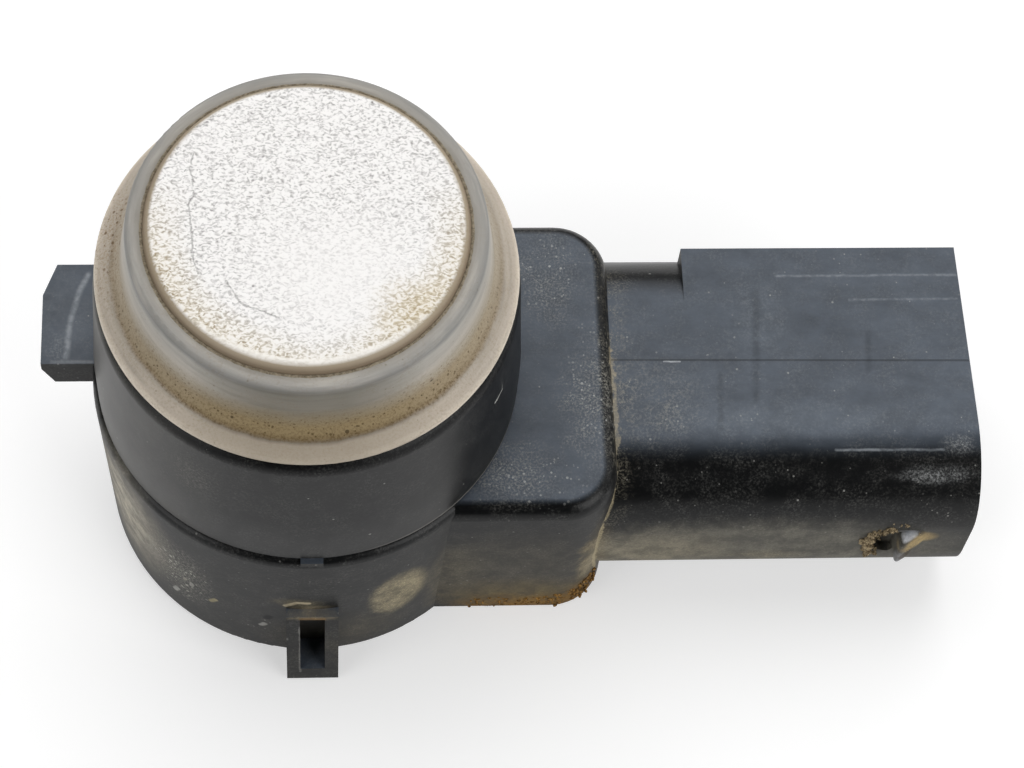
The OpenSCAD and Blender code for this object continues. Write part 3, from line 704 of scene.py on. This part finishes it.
class LacqueredAluminium:
    """Deep-drawn aluminium pot with sprayed silver lacquer.

    The lacquer is a bright white silver with a pebbled grain whose creases carry painted grey shade, with grey specks
    painted the same way, and, near the rim, tan dirt. It has cracked in two places, a clean bright line runs round
    its front, its edge has worn to a brown grey, and its side in the groove is a lighter brown, partly dirt and
    partly painted light.
    """

    FACE_Z = 28.38
    # Points of the two cracks, and middle and radius of the dark dots, on the face
    CRACKS = (
        ((-5.42, 3.83), (-5.55, 2.76), (-5.31, 1.4), (-5.58, 0.94), (-5.47, -0.25), (-5.41, -1.58), (-5.12, -2.7)),
        ((-4.14, -2.81), (-3.77, -3.18), (-3.27, -3.95), (-2.85, -4.42), (-2.4, -4.56), (-1.32, -5.03)),
    )
    DOTS = ((-1.78, 6.97, 0.12), (-7.22, -2.82, 0.16), (3.17, 6.64, 0.1), (-2.56, -3.35, 0.1))
    # Width of the pebbles, drawn coarser than the real spray so that they show
    PEBBLE = 0.14

    def make(self) -> Material:
        """Builds the material.

        Returns:
            The finished material.
        """
        coat = Coat("aluminium_pot_silver_lacquer", "#f0eeec", 0.42, 1.5, 0.1)
        # Pebbles that bend every 0.4 mm or so, with painted grey shade in their creases and painted grey specks,
        # fainter in the bright patch of the face
        wobble = coat.put("TexNoise", {"Vector": coat.at, "Scale": 2.6, "Detail": 2.0})
        centred = coat.put("VectorMath", (wobble.outputs["Color"], (0.5, 0.5, 0.5)), operation="SUBTRACT")
        bent = coat.put("VectorMath", (centred, (0.4, 0.4, 0.0), coat.at), operation="MULTIPLY_ADD")
        laid = coat.put("VectorMath", (bent, (0.8, 1.3, 1.0)), operation="MULTIPLY")
        pebbles = coat.put("TexNoise", {"Vector": laid, "Scale": 1 / self.PEBBLE, "Detail": 1.0, "Roughness": 0.5})
        creases = coat.put("MapRange", (pebbles, 0.46, 0.8))
        bright = coat.patch((1.6, -3.0, self.FACE_Z), (7.4, 5.6, 3.0), 0.95)
        dull = coat.put("MapRange", (bright, 0.0, 1.0, 1.0, 0.35))
        mottled = coat.put("MapRange", (coat.grains, 0.0, 1.0, 0.6))
        coat.lay((creases, dull), "#777270", 0.85)
        coat.lay((coat.specks(0.28, 0.08, 0.4), dull), "#7a7572", 0.45)
        # Tan dirt near the rim in the front half, thin where the face is clean and thick at the right
        rim = coat.put("MapRange", (coat.radius, 5.6, 7.2))
        near = coat.put("MapRange", (coat.y, 2.5, -2.0))
        clean = coat.patch((0.6, -5.8, self.FACE_Z), (3.6, 2.4, 1.0), 0.9)
        left_out = coat.put("MapRange", (clean, 0.0, 1.0, 1.0, 0.25))
        soiled = coat.meet(rim, near, left_out)
        patchy = coat.put("MapRange", (pebbles, 0.35, 0.6, 0.3))
        coat.lay((soiled, patchy), "#cdbb93", 0.5)
        corner = coat.patch((5.0, -4.6, self.FACE_Z), (2.6, 2.6, 1.0), 0.9)
        coat.lay((corner, patchy), "#c9b78f", 0.6)
        tan = coat.put("Math", (soiled, corner), operation="MAXIMUM")
        coat.lay((tan, creases), "#86714a", 0.7, 0.7)
        # Cracks of the lacquer, and dark dots
        for points in self.CRACKS:
            spots = tuple((x, y, self.FACE_Z) for x, y in points)
            coat.lay((coat.line(spots, 0.13, 0.3, 0.2), mottled), "#5a5652", 0.8)
        for x, y, size in self.DOTS:
            coat.lay(coat.patch((x, y, self.FACE_Z), (size, size, size), 0.9, 0.05), "#3c332a", 0.8)
        # Clean bright line round the front, the worn edge, and a lighter brown down the pot's side, partly dirt and
        # partly painted light against the shade of the groove
        inner = coat.put("MapRange", (coat.radius, 7.12, 7.2))
        foremost = coat.put("MapRange", (coat.y, -4.6, -6.6))
        coat.lay((inner, foremost), "#efebe4", 0.8)
        edge = coat.put("MapRange", (coat.face_z, 0.985, 0.86))
        coat.lay(edge, "#a3947c", 0.95, 0.6)
        deep = coat.put("MapRange", (coat.face_z, 0.86, 0.5))
        coat.lay(deep, "#83725d", 0.8, 0.6)
        proud = coat.put("MapRange", (pebbles, 0.0, 1.0, 1.0, 0.0))
        coat.emboss(proud, 0.02, 0.6)
        return coat.done()


class DriedSoil:
    """Road soil, dried in crumbs.

    Matt tan to rust brown, with dark damp cores and pale dusty grains.
    """

    def __init__(self, name: str, pale: str, deep: str) -> None:
        """Takes the name and the two colours that the soil runs between.

        Args:
            name: Name of the material.
            pale: sRGB colour of its dusty grains.
            deep: sRGB colour of its damp cores.
        """
        self.name = name
        self.pale = pale
        self.deep = deep

    def make(self) -> Material:
        """Builds the material.

        Returns:
            The finished material.
        """
        coat = Coat(self.name, self.pale, 0.95, 1.4)
        # Damp cores of about a fifth of a millimetre
        lump = coat.put("TexNoise", {"Vector": coat.at, "Scale": 4.5, "Detail": 4.0, "Roughness": 0.7})
        damp = coat.put("MapRange", (lump, 0.42, 0.58))
        coat.lay(damp, self.deep, 0.9)
        coat.lay(coat.grains, "#b5a888", 0.3)
        coat.emboss(coat.grains, 0.05, 0.8)
        return coat.done()


@dataclass(frozen=True)
class PlainFinish:
    """Finish of a piece that is mostly out of sight.

    Attributes:
        name: Real material and how it was made.
        base: sRGB colour.
        shade: sRGB colour of its darker grains.
        rough: Roughness.
        grain: Size of its grain.
        depth: Depth of its grain.
        ior: Index of refraction.
        metallic: Metallic share of the shader.
    """

    name: str
    base: str
    shade: str
    rough: float
    grain: float
    depth: float
    ior: float = 1.5
    metallic: float = 0.0

    def make(self) -> Material:
        """Builds the material.

        Returns:
            The finished material.
        """
        coat = Coat(self.name, self.base, self.rough, self.ior, self.metallic)
        grain = coat.put("TexNoise", {"Vector": coat.at, "Scale": 1 / self.grain, "Detail": 4.0})
        dark = coat.put("MapRange", (grain, 0.6, 0.35))
        coat.lay(dark, self.shade, 0.7, min(1.0, self.rough + 0.1))
        coat.emboss(grain, self.depth, 0.6)
        return coat.done()


FINISHES = {
    Slot.BLACK_PLASTIC: MouldedPolyamide(),
    Slot.COLLAR_PLASTIC: MouldedCollarPlastic(),
    Slot.GREY_SILICONE: MouldedSilicone(),
    Slot.SILVER_PAINT: LacqueredAluminium(),
    # Fired ceramic with a sprayed silver electrode: pale and chalky
    Slot.PIEZO_CERAMIC: PlainFinish("piezo_ceramic_fired", "#d8cdab", "#b3a67f", 0.6, 0.3, 0.01),
    # Open-cell polyurethane: deep grey with pores that read as dark dots
    Slot.FOAM: PlainFinish("polyurethane_foam_open_cell", "#4a4a4d", "#19191b", 0.95, 0.35, 0.15),
    # Cast silicone: milky with slow cloudy patches
    Slot.POTTING: PlainFinish("silicone_potting_cast", "#c3b9a4", "#a39a86", 0.45, 1.2, 0.01, 1.42),
    # Enamelled copper: warm metal under a thin amber lacquer
    Slot.COPPER_WIRE: PlainFinish("copper_wire_enamelled", "#c07a4a", "#8f5128", 0.3, 0.25, 0.01, 1.5, 1.0),
    # Tinned bronze: soft grey-yellow metal with dull handling marks
    Slot.TERMINAL_METAL: PlainFinish("bronze_terminals_tinned", "#c9c0a6", "#9d937a", 0.32, 0.4, 0.006, 1.5, 1.0),
    # Glass-cloth laminate under green solder mask: the cloth shows as a faint mottling
    Slot.BOARD_LAMINATE: PlainFinish("glass_laminate_solder_mask", "#1d6b3c", "#124a29", 0.35, 0.5, 0.01, 1.52),
    # Moulded epoxy: dark grey, matt and finely gritty
    Slot.CHIP_RESIN: PlainFinish("epoxy_resin_moulded", "#222225", "#131315", 0.55, 0.15, 0.008, 1.55),
    # Moulded phenolic bobbin: ivory and slightly cloudy
    Slot.BOBBIN_PLASTIC: PlainFinish("phenolic_bobbin_moulded", "#c8c4b5", "#a8a393", 0.5, 0.6, 0.006),
    # Pressed ferrite: charcoal with a powdery skin
    Slot.FERRITE: PlainFinish("ferrite_pressed", "#3c3a3c", "#262527", 0.7, 0.2, 0.02, 2.0),
    # Moulded tantalum capacitor: ochre resin
    Slot.CAPACITOR_RESIN: PlainFinish("capacitor_resin_moulded", "#c9912f", "#a0701f", 0.5, 0.3, 0.006),
    # Fired multilayer ceramic: brown and dull
    Slot.CAPACITOR_CERAMIC: PlainFinish("capacitor_ceramic_fired", "#a5805c", "#7f6146", 0.6, 0.2, 0.01),
}


class Stock:
    """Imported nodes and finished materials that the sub-assemblies draw on."""

    def __init__(self, frame: dict) -> None:
        """Makes every finish of the record.
        """
        self.nodes: dict[str, Piece] = frame["nodes"]
        self.slots = {part["node"]: Slot(part["material_slot"]) for part in frame["record"]["subparts"]}
        self.finishes = {slot: finish.make() for slot, finish in FINISHES.items()}

    def wear(self, piece: Piece, material: Material) -> None:
        """Gives a piece one finish all over, and reports it.

        Args:
            piece: The piece.
            material: The finish.
        """
        piece.data.materials.clear()
        piece.data.materials.append(material)
        LOG.info("%s wears %s", piece.name, material.name)


@dataclass
class SubAssembly:
    """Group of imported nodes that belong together.

    Attributes:
        nodes: Their names.
    """

    nodes: tuple[str, ...]

    def dress(self, stock: Stock) -> None:
        """Gives each node the finish of its slot."""
        for name in self.nodes:
            stock.wear(stock.nodes[name], stock.finishes[stock.slots[name]])


@dataclass
class Moulding(SubAssembly):
    """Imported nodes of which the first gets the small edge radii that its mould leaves.

    Attributes:
        edge_round: Radius of the moulded edges.
        segments: Faces across each rounded edge.
        sharp_angle: Angle above which an edge is rounded, in degrees.
        flat_angle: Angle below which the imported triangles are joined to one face, in degrees.
        weld: Distance below which corners are one.
        worn_box: Lowest and highest corner of the place whose edges are worn rounder.
        worn_round: Radius of the worn edges.
        worn_segments: Faces across each worn edge.
    """

    edge_round: float = 0.13
    segments: int = 3
    sharp_angle: float = 35.0
    flat_angle: float = 0.3
    weld: float = 0.0005
    worn_box: tuple[Point, Point] | None = None
    worn_round: float = 0.4
    worn_segments: int = 4

    def wear_down(self, shell: Piece) -> None:
        """Rounds the edges that start or end in the worn box.

        Args:
            shell: The piece, active and in millimetres.
        """
        low, high = self.worn_box
        worn = [all(a <= c <= b for a, c, b in zip(low, v.co, high)) for v in shell.data.vertices]
        bpy.ops.object.mode_set(mode="EDIT")
        bpy.ops.mesh.select_mode(type="EDGE")
        bpy.ops.mesh.select_all(action="DESELECT")
        bpy.ops.object.mode_set(mode="OBJECT")
        for edge in shell.data.edges:
            edge.select = any(worn[i] for i in edge.vertices)
        bpy.ops.object.mode_set(mode="EDIT")
        bpy.ops.mesh.bevel(offset=self.worn_round, segments=self.worn_segments, affect="EDGES", clamp_overlap=True)
        bpy.ops.object.mode_set(mode="OBJECT")

    def build(self, stock: Stock) -> None:
        """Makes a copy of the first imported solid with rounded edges, and dresses it.

        Args:
            stock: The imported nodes, which stay as they are, and the finishes.
        """
        name = self.nodes[0]
        shell = bpy.data.objects.new(f"{name}_moulding", stock.nodes[name].data.copy())
        bpy.context.scene.collection.objects.link(shell)
        shell.data.transform(Matrix.Scale(1 / MM, 4))
        select_only(shell)
        bpy.ops.object.mode_set(mode="EDIT")
        bpy.ops.mesh.select_all(action="SELECT")
        bpy.ops.mesh.remove_doubles(threshold=self.weld)
        bpy.ops.mesh.dissolve_limited(angle_limit=math.radians(self.flat_angle))
        bpy.ops.object.mode_set(mode="OBJECT")
        if self.worn_box is not None:
            self.wear_down(shell)
        bevel = shell.modifiers.new("edge_round", "BEVEL")
        bevel.width = self.edge_round
        bevel.segments = self.segments
        bevel.limit_method = "ANGLE"
        bevel.angle_limit = math.radians(self.sharp_angle)
        bevel.miter_outer = "MITER_ARC"
        bpy.ops.object.modifier_apply(modifier=bevel.name)
        bpy.ops.object.shade_smooth_by_angle(angle=math.radians(self.sharp_angle))
        level = shell.modifiers.new("large_faces_first", "WEIGHTED_NORMAL")
        level.keep_sharp = True
        bpy.ops.object.modifier_apply(modifier=level.name)
        shell.data.transform(Matrix.Scale(MM, 4))
        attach(shell, "root")
        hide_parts(name)
        stock.wear(shell, stock.finishes[stock.slots[name]])
        LOG.info("%s has %d faces", shell.name, len(shell.data.polygons))


@dataclass(frozen=True)
class Heap:
    """Place where crumbs of soil lie.

    Attributes:
        start: One end of the line along which they lie.
        end: Its other end.
        spread: How far they stray from the line along the three axes.
        count: How many there are.
        size: Radius of the largest.
    """

    start: Point
    end: Point
    spread: Point
    count: int
    size: float


@dataclass
class RoadSoil:
    """Dried soil that stands proud of the surface: a bead round the membrane, and crumbs at the latch and the foot.

    Attributes:
        bead_radius: Radius of the bead's ring.
        bead_height: Height of its middle.
        bead_size: Half its thickness.
        bead_uneven: How uneven it is.
        bead_steps: Faces round the ring.
        bead_sides: Faces round its section.
        lump_uneven: How uneven a crumb is, as a share of its radius.
        seed: Seed of the crumbs' places.
    """

    bead_radius: float = 7.87
    bead_height: float = 27.86
    bead_size: float = 0.13
    bead_uneven: float = 0.012
    bead_steps: int = 220
    bead_sides: int = 10
    lump_uneven: float = 0.35
    seed: int = 7

    # Range of the crumbs' sizes, as shares of the largest, and of their stretch along each axis
    SIZES = (0.4, 1.0)
    STRETCH = (0.7, 1.3)
    LATCH = (
        Heap((30.9, -7.5, 8.05), (30.0, -7.5, 7.6), (0.3, 0.1, 0.2), 30, 0.16),
        Heap((30.0, -7.5, 7.6), (29.65, -7.5, 6.4), (0.28, 0.1, 0.28), 40, 0.19),
        Heap((29.65, -7.5, 6.4), (30.2, -7.5, 4.7), (0.3, 0.1, 0.28), 50, 0.19),
        Heap((30.2, -7.2, 7.4), (30.2, -7.2, 5.6), (0.3, 0.1, 0.3), 20, 0.14),
        Heap((31.0, -7.4, 8.6), (31.6, -7.45, 8.3), (0.25, 0.05, 0.2), 8, 0.09),
        Heap((32.4, -7.6, 7.6), (31.6, -8.15, 6.2), (0.15, 0.05, 0.3), 10, 0.07),
    )
    FOOT = (
        Heap((8.6, -8.5, 0.85), (13.2, -8.5, 1.1), (0.2, 0.02, 0.6), 90, 0.09),
        Heap((13.1, -8.48, 1.05), (14.6, -8.1, 1.4), (0.2, 0.05, 0.8), 90, 0.15),
        Heap((14.6, -8.1, 1.3), (15.35, -7.35, 2.0), (0.12, 0.08, 1.0), 80, 0.15),
    )

    def build(self, stock: Stock) -> None:
        """Makes the bead and the two lots of crumbs.

        Args:
            stock: Dresses them.
        """
        tan = DriedSoil("road_soil_dried_tan", "#bca987", "#4a3a22").make()
        rust = DriedSoil("road_soil_dried_rusty", "#ad8140", "#4c3212").make()
        grey = DriedSoil("road_soil_dried_grey", "#9a8f7c", "#716654").make()
        self.settle(stock, self.bead(), Slot.GREY_SILICONE, grey)
        self.settle(stock, self.crumbs("latch_soil", self.LATCH), Slot.BLACK_PLASTIC, tan)
        self.settle(stock, self.crumbs("foot_soil", self.FOOT), Slot.BLACK_PLASTIC, rust)

    def settle(self, stock: Stock, piece: Piece, slot: Slot, material: Material) -> None:
        """Fixes a piece to the part and dresses it.

        Args:
            stock: Dresses it.
            piece: The piece.
            slot: Slot of the record that it belongs to; not used.
            material: Its finish.
        """
        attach(piece, "root")
        stock.wear(piece, material)

    def roughen(self, amount: float) -> None:
        """Makes the selected piece uneven, and leaves it smooth.

        Args:
            amount: How far its corners move at most.
        """
        bpy.ops.object.mode_set(mode="EDIT")
        bpy.ops.mesh.select_all(action="SELECT")
        bpy.ops.transform.vertex_random(offset=amount * MM, uniform=1.0, seed=self.seed)
        bpy.ops.mesh.normals_make_consistent(inside=False)
        bpy.ops.object.mode_set(mode="OBJECT")
        bpy.ops.object.shade_smooth()

    def bead(self) -> Piece:
        """Makes the uneven bead of soil in the joint between the membrane's pot and the silicone lip.

        Returns:
            The bead.
        """
        bpy.ops.object.select_all(action="DESELECT")
        bpy.ops.mesh.primitive_torus_add(
            location=(0, 0, self.bead_height * MM),
            major_radius=self.bead_radius * MM,
            minor_radius=self.bead_size * MM,
            major_segments=self.bead_steps,
            minor_segments=self.bead_sides,
        )
        bead = bpy.context.active_object
        bead.name = "rim_soil"
        self.roughen(self.bead_uneven)
        bpy.ops.object.transform_apply()
        return bead

    def crumbs(self, name: str, heaps: tuple[Heap, ...]) -> Piece:
        """Makes crumbs of soil from one uneven lump that is copied, turned and scaled.

        Args:
            name: Name of the piece.
            heaps: Where the crumbs lie.

        Returns:
            All the crumbs as one piece.
        """
        rng = random.Random(self.seed)
        bpy.ops.object.select_all(action="DESELECT")
        bpy.ops.mesh.primitive_ico_sphere_add(subdivisions=1, radius=MM)
        lump = bpy.context.active_object
        self.roughen(self.lump_uneven)
        made = []
        for heap in heaps:
            for _ in range(heap.count):
                along = Vector(heap.start).lerp(Vector(heap.end), rng.random())
                stray = Vector(rng.uniform(-s, s) for s in heap.spread)
                size = heap.size * rng.uniform(*self.SIZES)
                select_only(lump)
                bpy.ops.object.duplicate()
                crumb = bpy.context.active_object
                crumb.location = (along + stray) * MM
                crumb.rotation_euler = [rng.uniform(0, math.tau) for _ in range(3)]
                crumb.scale = [size * rng.uniform(*self.STRETCH) for _ in range(3)]
                made.append(crumb)
        bpy.data.objects.remove(lump)
        select_only(*made)
        bpy.ops.object.join()
        bpy.ops.object.transform_apply()
        made[0].name = name
        return made[0]


@dataclass
class PhotoCamera:
    """Camera at the photograph's viewing angle.

    Attributes:
        azimuth: Direction round the part, in degrees.
        elevation: Angle above the horizon, in degrees.
        roll: Turn about the line of sight, in degrees.
        distance: Distance from the target.
        target: Point in the middle of the image.
        focal: Focal length in image widths.
        sensor: Width of the sensor.
        nearest: Distance below which nothing is drawn.
    """

    azimuth: float = -8.93
    elevation: float = 64.087
    roll: float = -7.589
    distance: float = 159.277
    target: Point = (10.777, 0.286, 10.0)
    focal: float = 3000 / 1024
    sensor: float = 36.0
    nearest: float = 10.0

    def place(self) -> None:
        """Makes the scene's camera."""
        around, up, turn = (math.radians(a) for a in (self.azimuth, self.elevation, self.roll))
        back = Vector((math.sin(around) * math.cos(up), -math.cos(around) * math.cos(up), math.sin(up)))
        right = (-back).cross(Vector((0, 0, 1))).normalized()
        down = (-back).cross(right)
        side = math.cos(turn) * right + math.sin(turn) * down
        below = -math.sin(turn) * right + math.cos(turn) * down
        data = bpy.data.cameras.new("photo_camera")
        data.sensor_width = self.sensor
        data.lens = self.focal * self.sensor
        data.clip_start = self.nearest * MM
        camera = bpy.data.objects.new("photo_camera", data)
        bpy.context.scene.collection.objects.link(camera)
        pose = Matrix((side, -below, back)).transposed().to_4x4()
        pose.translation = (Vector(self.target) + back * self.distance) * MM
        camera.matrix_world = pose
        bpy.context.scene.camera = camera


@dataclass(frozen=True)
class Lamp:
    """One lamp of the studio, aimed at the part.

    Attributes:
        name: Its name.
        shape: Shape of its face.
        size: Width of its face, in metres.
        at: Its place, in metres.
        level: Brightness of its face, where 1 is white.
    """

    name: str
    shape: LampShape
    size: float
    at: Point
    level: float

    def hang(self) -> None:
        """Makes the lamp."""
        data = bpy.data.lights.new(self.name, "AREA")
        data.shape = self.shape.value
        data.size = self.size
        face = self.size**2 * (math.pi / 4 if self.shape is LampShape.ROUND else 1.0)
        data.energy = self.level * math.pi * face
        lamp = bpy.data.objects.new(self.name, data)
        bpy.context.scene.collection.objects.link(lamp)
        lamp.location = self.at
        lamp.rotation_mode = "QUATERNION"
        lamp.rotation_quaternion = Vector(self.at).to_track_quat("Z", "Y")


@dataclass
class Studio:
    """White table under one large round softbox, with panels at the left, the right and the far right.

    Attributes:
        floor_half: Half the table's side, in metres.
        lamps: The lamps.
        room_level: Brightness of the room round them.
        floor_colour: Colour of the table.
        floor_glow: Light that the table adds towards the camera, so that it reads as white.
    """

    floor_half: float = 2.0
    lamps: tuple[Lamp, ...] = (
        Lamp("softbox", LampShape.ROUND, 0.84, (-0.03, 0.34, 0.44), 2.0),
        Lamp("right_panel", LampShape.SQUARE, 0.45, (0.46, -0.36, 0.28), 3.4),
        Lamp("side_panel", LampShape.SQUARE, 0.45, (0.58, 0.2, 0.3), 1.2),
        Lamp("left_panel", LampShape.SQUARE, 0.45, (-0.52, -0.32, 0.28), 2.5),
    )
    room_level: float = 0.03
    floor_colour: str = "#d2d2d2"
    floor_glow: float = 0.48

    def build(self) -> None:
        """Makes the table, the lamps and the room."""
        bpy.ops.object.select_all(action="DESELECT")
        bpy.ops.mesh.primitive_plane_add(size=2 * self.floor_half)
        floor = bpy.context.active_object
        floor.name = "table"
        floor.data.materials.append(self.table_top())
        for lamp in self.lamps:
            lamp.hang()
        world = bpy.data.worlds.new("room")
        world.use_nodes = True
        room = world.node_tree.nodes["Background"]
        room.inputs["Color"].default_value = (1, 1, 1, 1)
        room.inputs["Strength"].default_value = self.room_level
        bpy.context.scene.world = world
        bpy.context.scene.view_settings.view_transform = "Standard"

    def table_top(self) -> Material:
        """Makes the table's white card, which keeps the part's shadow.

        Returns:
            The finished material.
        """
        material = bpy.data.materials.new("white_card")
        material.use_nodes = True
        tree = material.node_tree
        tree.nodes.clear()
        card = put(tree, "BsdfDiffuse", {"Color": linear(self.floor_colour)})
        path = put(tree, "LightPath")
        seen = put(tree, "Math", (path.outputs["Is Camera Ray"], path.outputs["Is Glossy Ray"]), operation="ADD")
        through = put(tree, "Math", (seen, path.outputs["Is Transmission Ray"]), operation="ADD", use_clamp=True)
        level = put(tree, "Math", (through, self.floor_glow), operation="MULTIPLY")
        glow = put(tree, "Emission", {"Strength": level})
        both = put(tree, "AddShader", (card, glow))
        put(tree, "OutputMaterial", {"Surface": both})
        return material


def main() -> None:
    """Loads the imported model, builds and dresses its pieces, and sets the studio round it."""
    logging.basicConfig(level=logging.INFO, format="%(name)s: %(message)s")
    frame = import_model()
    stock = Stock(frame)
    latch_tip = ((31.0, -8.6, 4.9), (31.5, -8.2, 8.0))
    body = Moulding(("housing", "contact_carrier", "rear_cover"), worn_box=latch_tip)
    collar = Moulding(("retaining_ring",), edge_round=0.1)
    groups = (
        body,
        collar,
        SubAssembly(("decoupling_ring", "transducer_pot", "piezo_disc", "damping_foam", "pot_filler")),
        SubAssembly(("signal_lead", "ground_lead", "supply_pin", "data_pin", "ground_pin")),
        SubAssembly(("circuit_board", "driver_chip", "storage_capacitor", "protection_diode")),
        SubAssembly(("transformer_bobbin", "transformer_winding", "transformer_core")),
        SubAssembly(("filter_capacitors", "bias_resistors")),
    )
    for group in groups:
        group.dress(stock)
    body.build(stock)
    collar.build(stock)
    RoadSoil().build(stock)
    PhotoCamera().place()
    Studio().build()


if __name__ == "__main__":
    main()
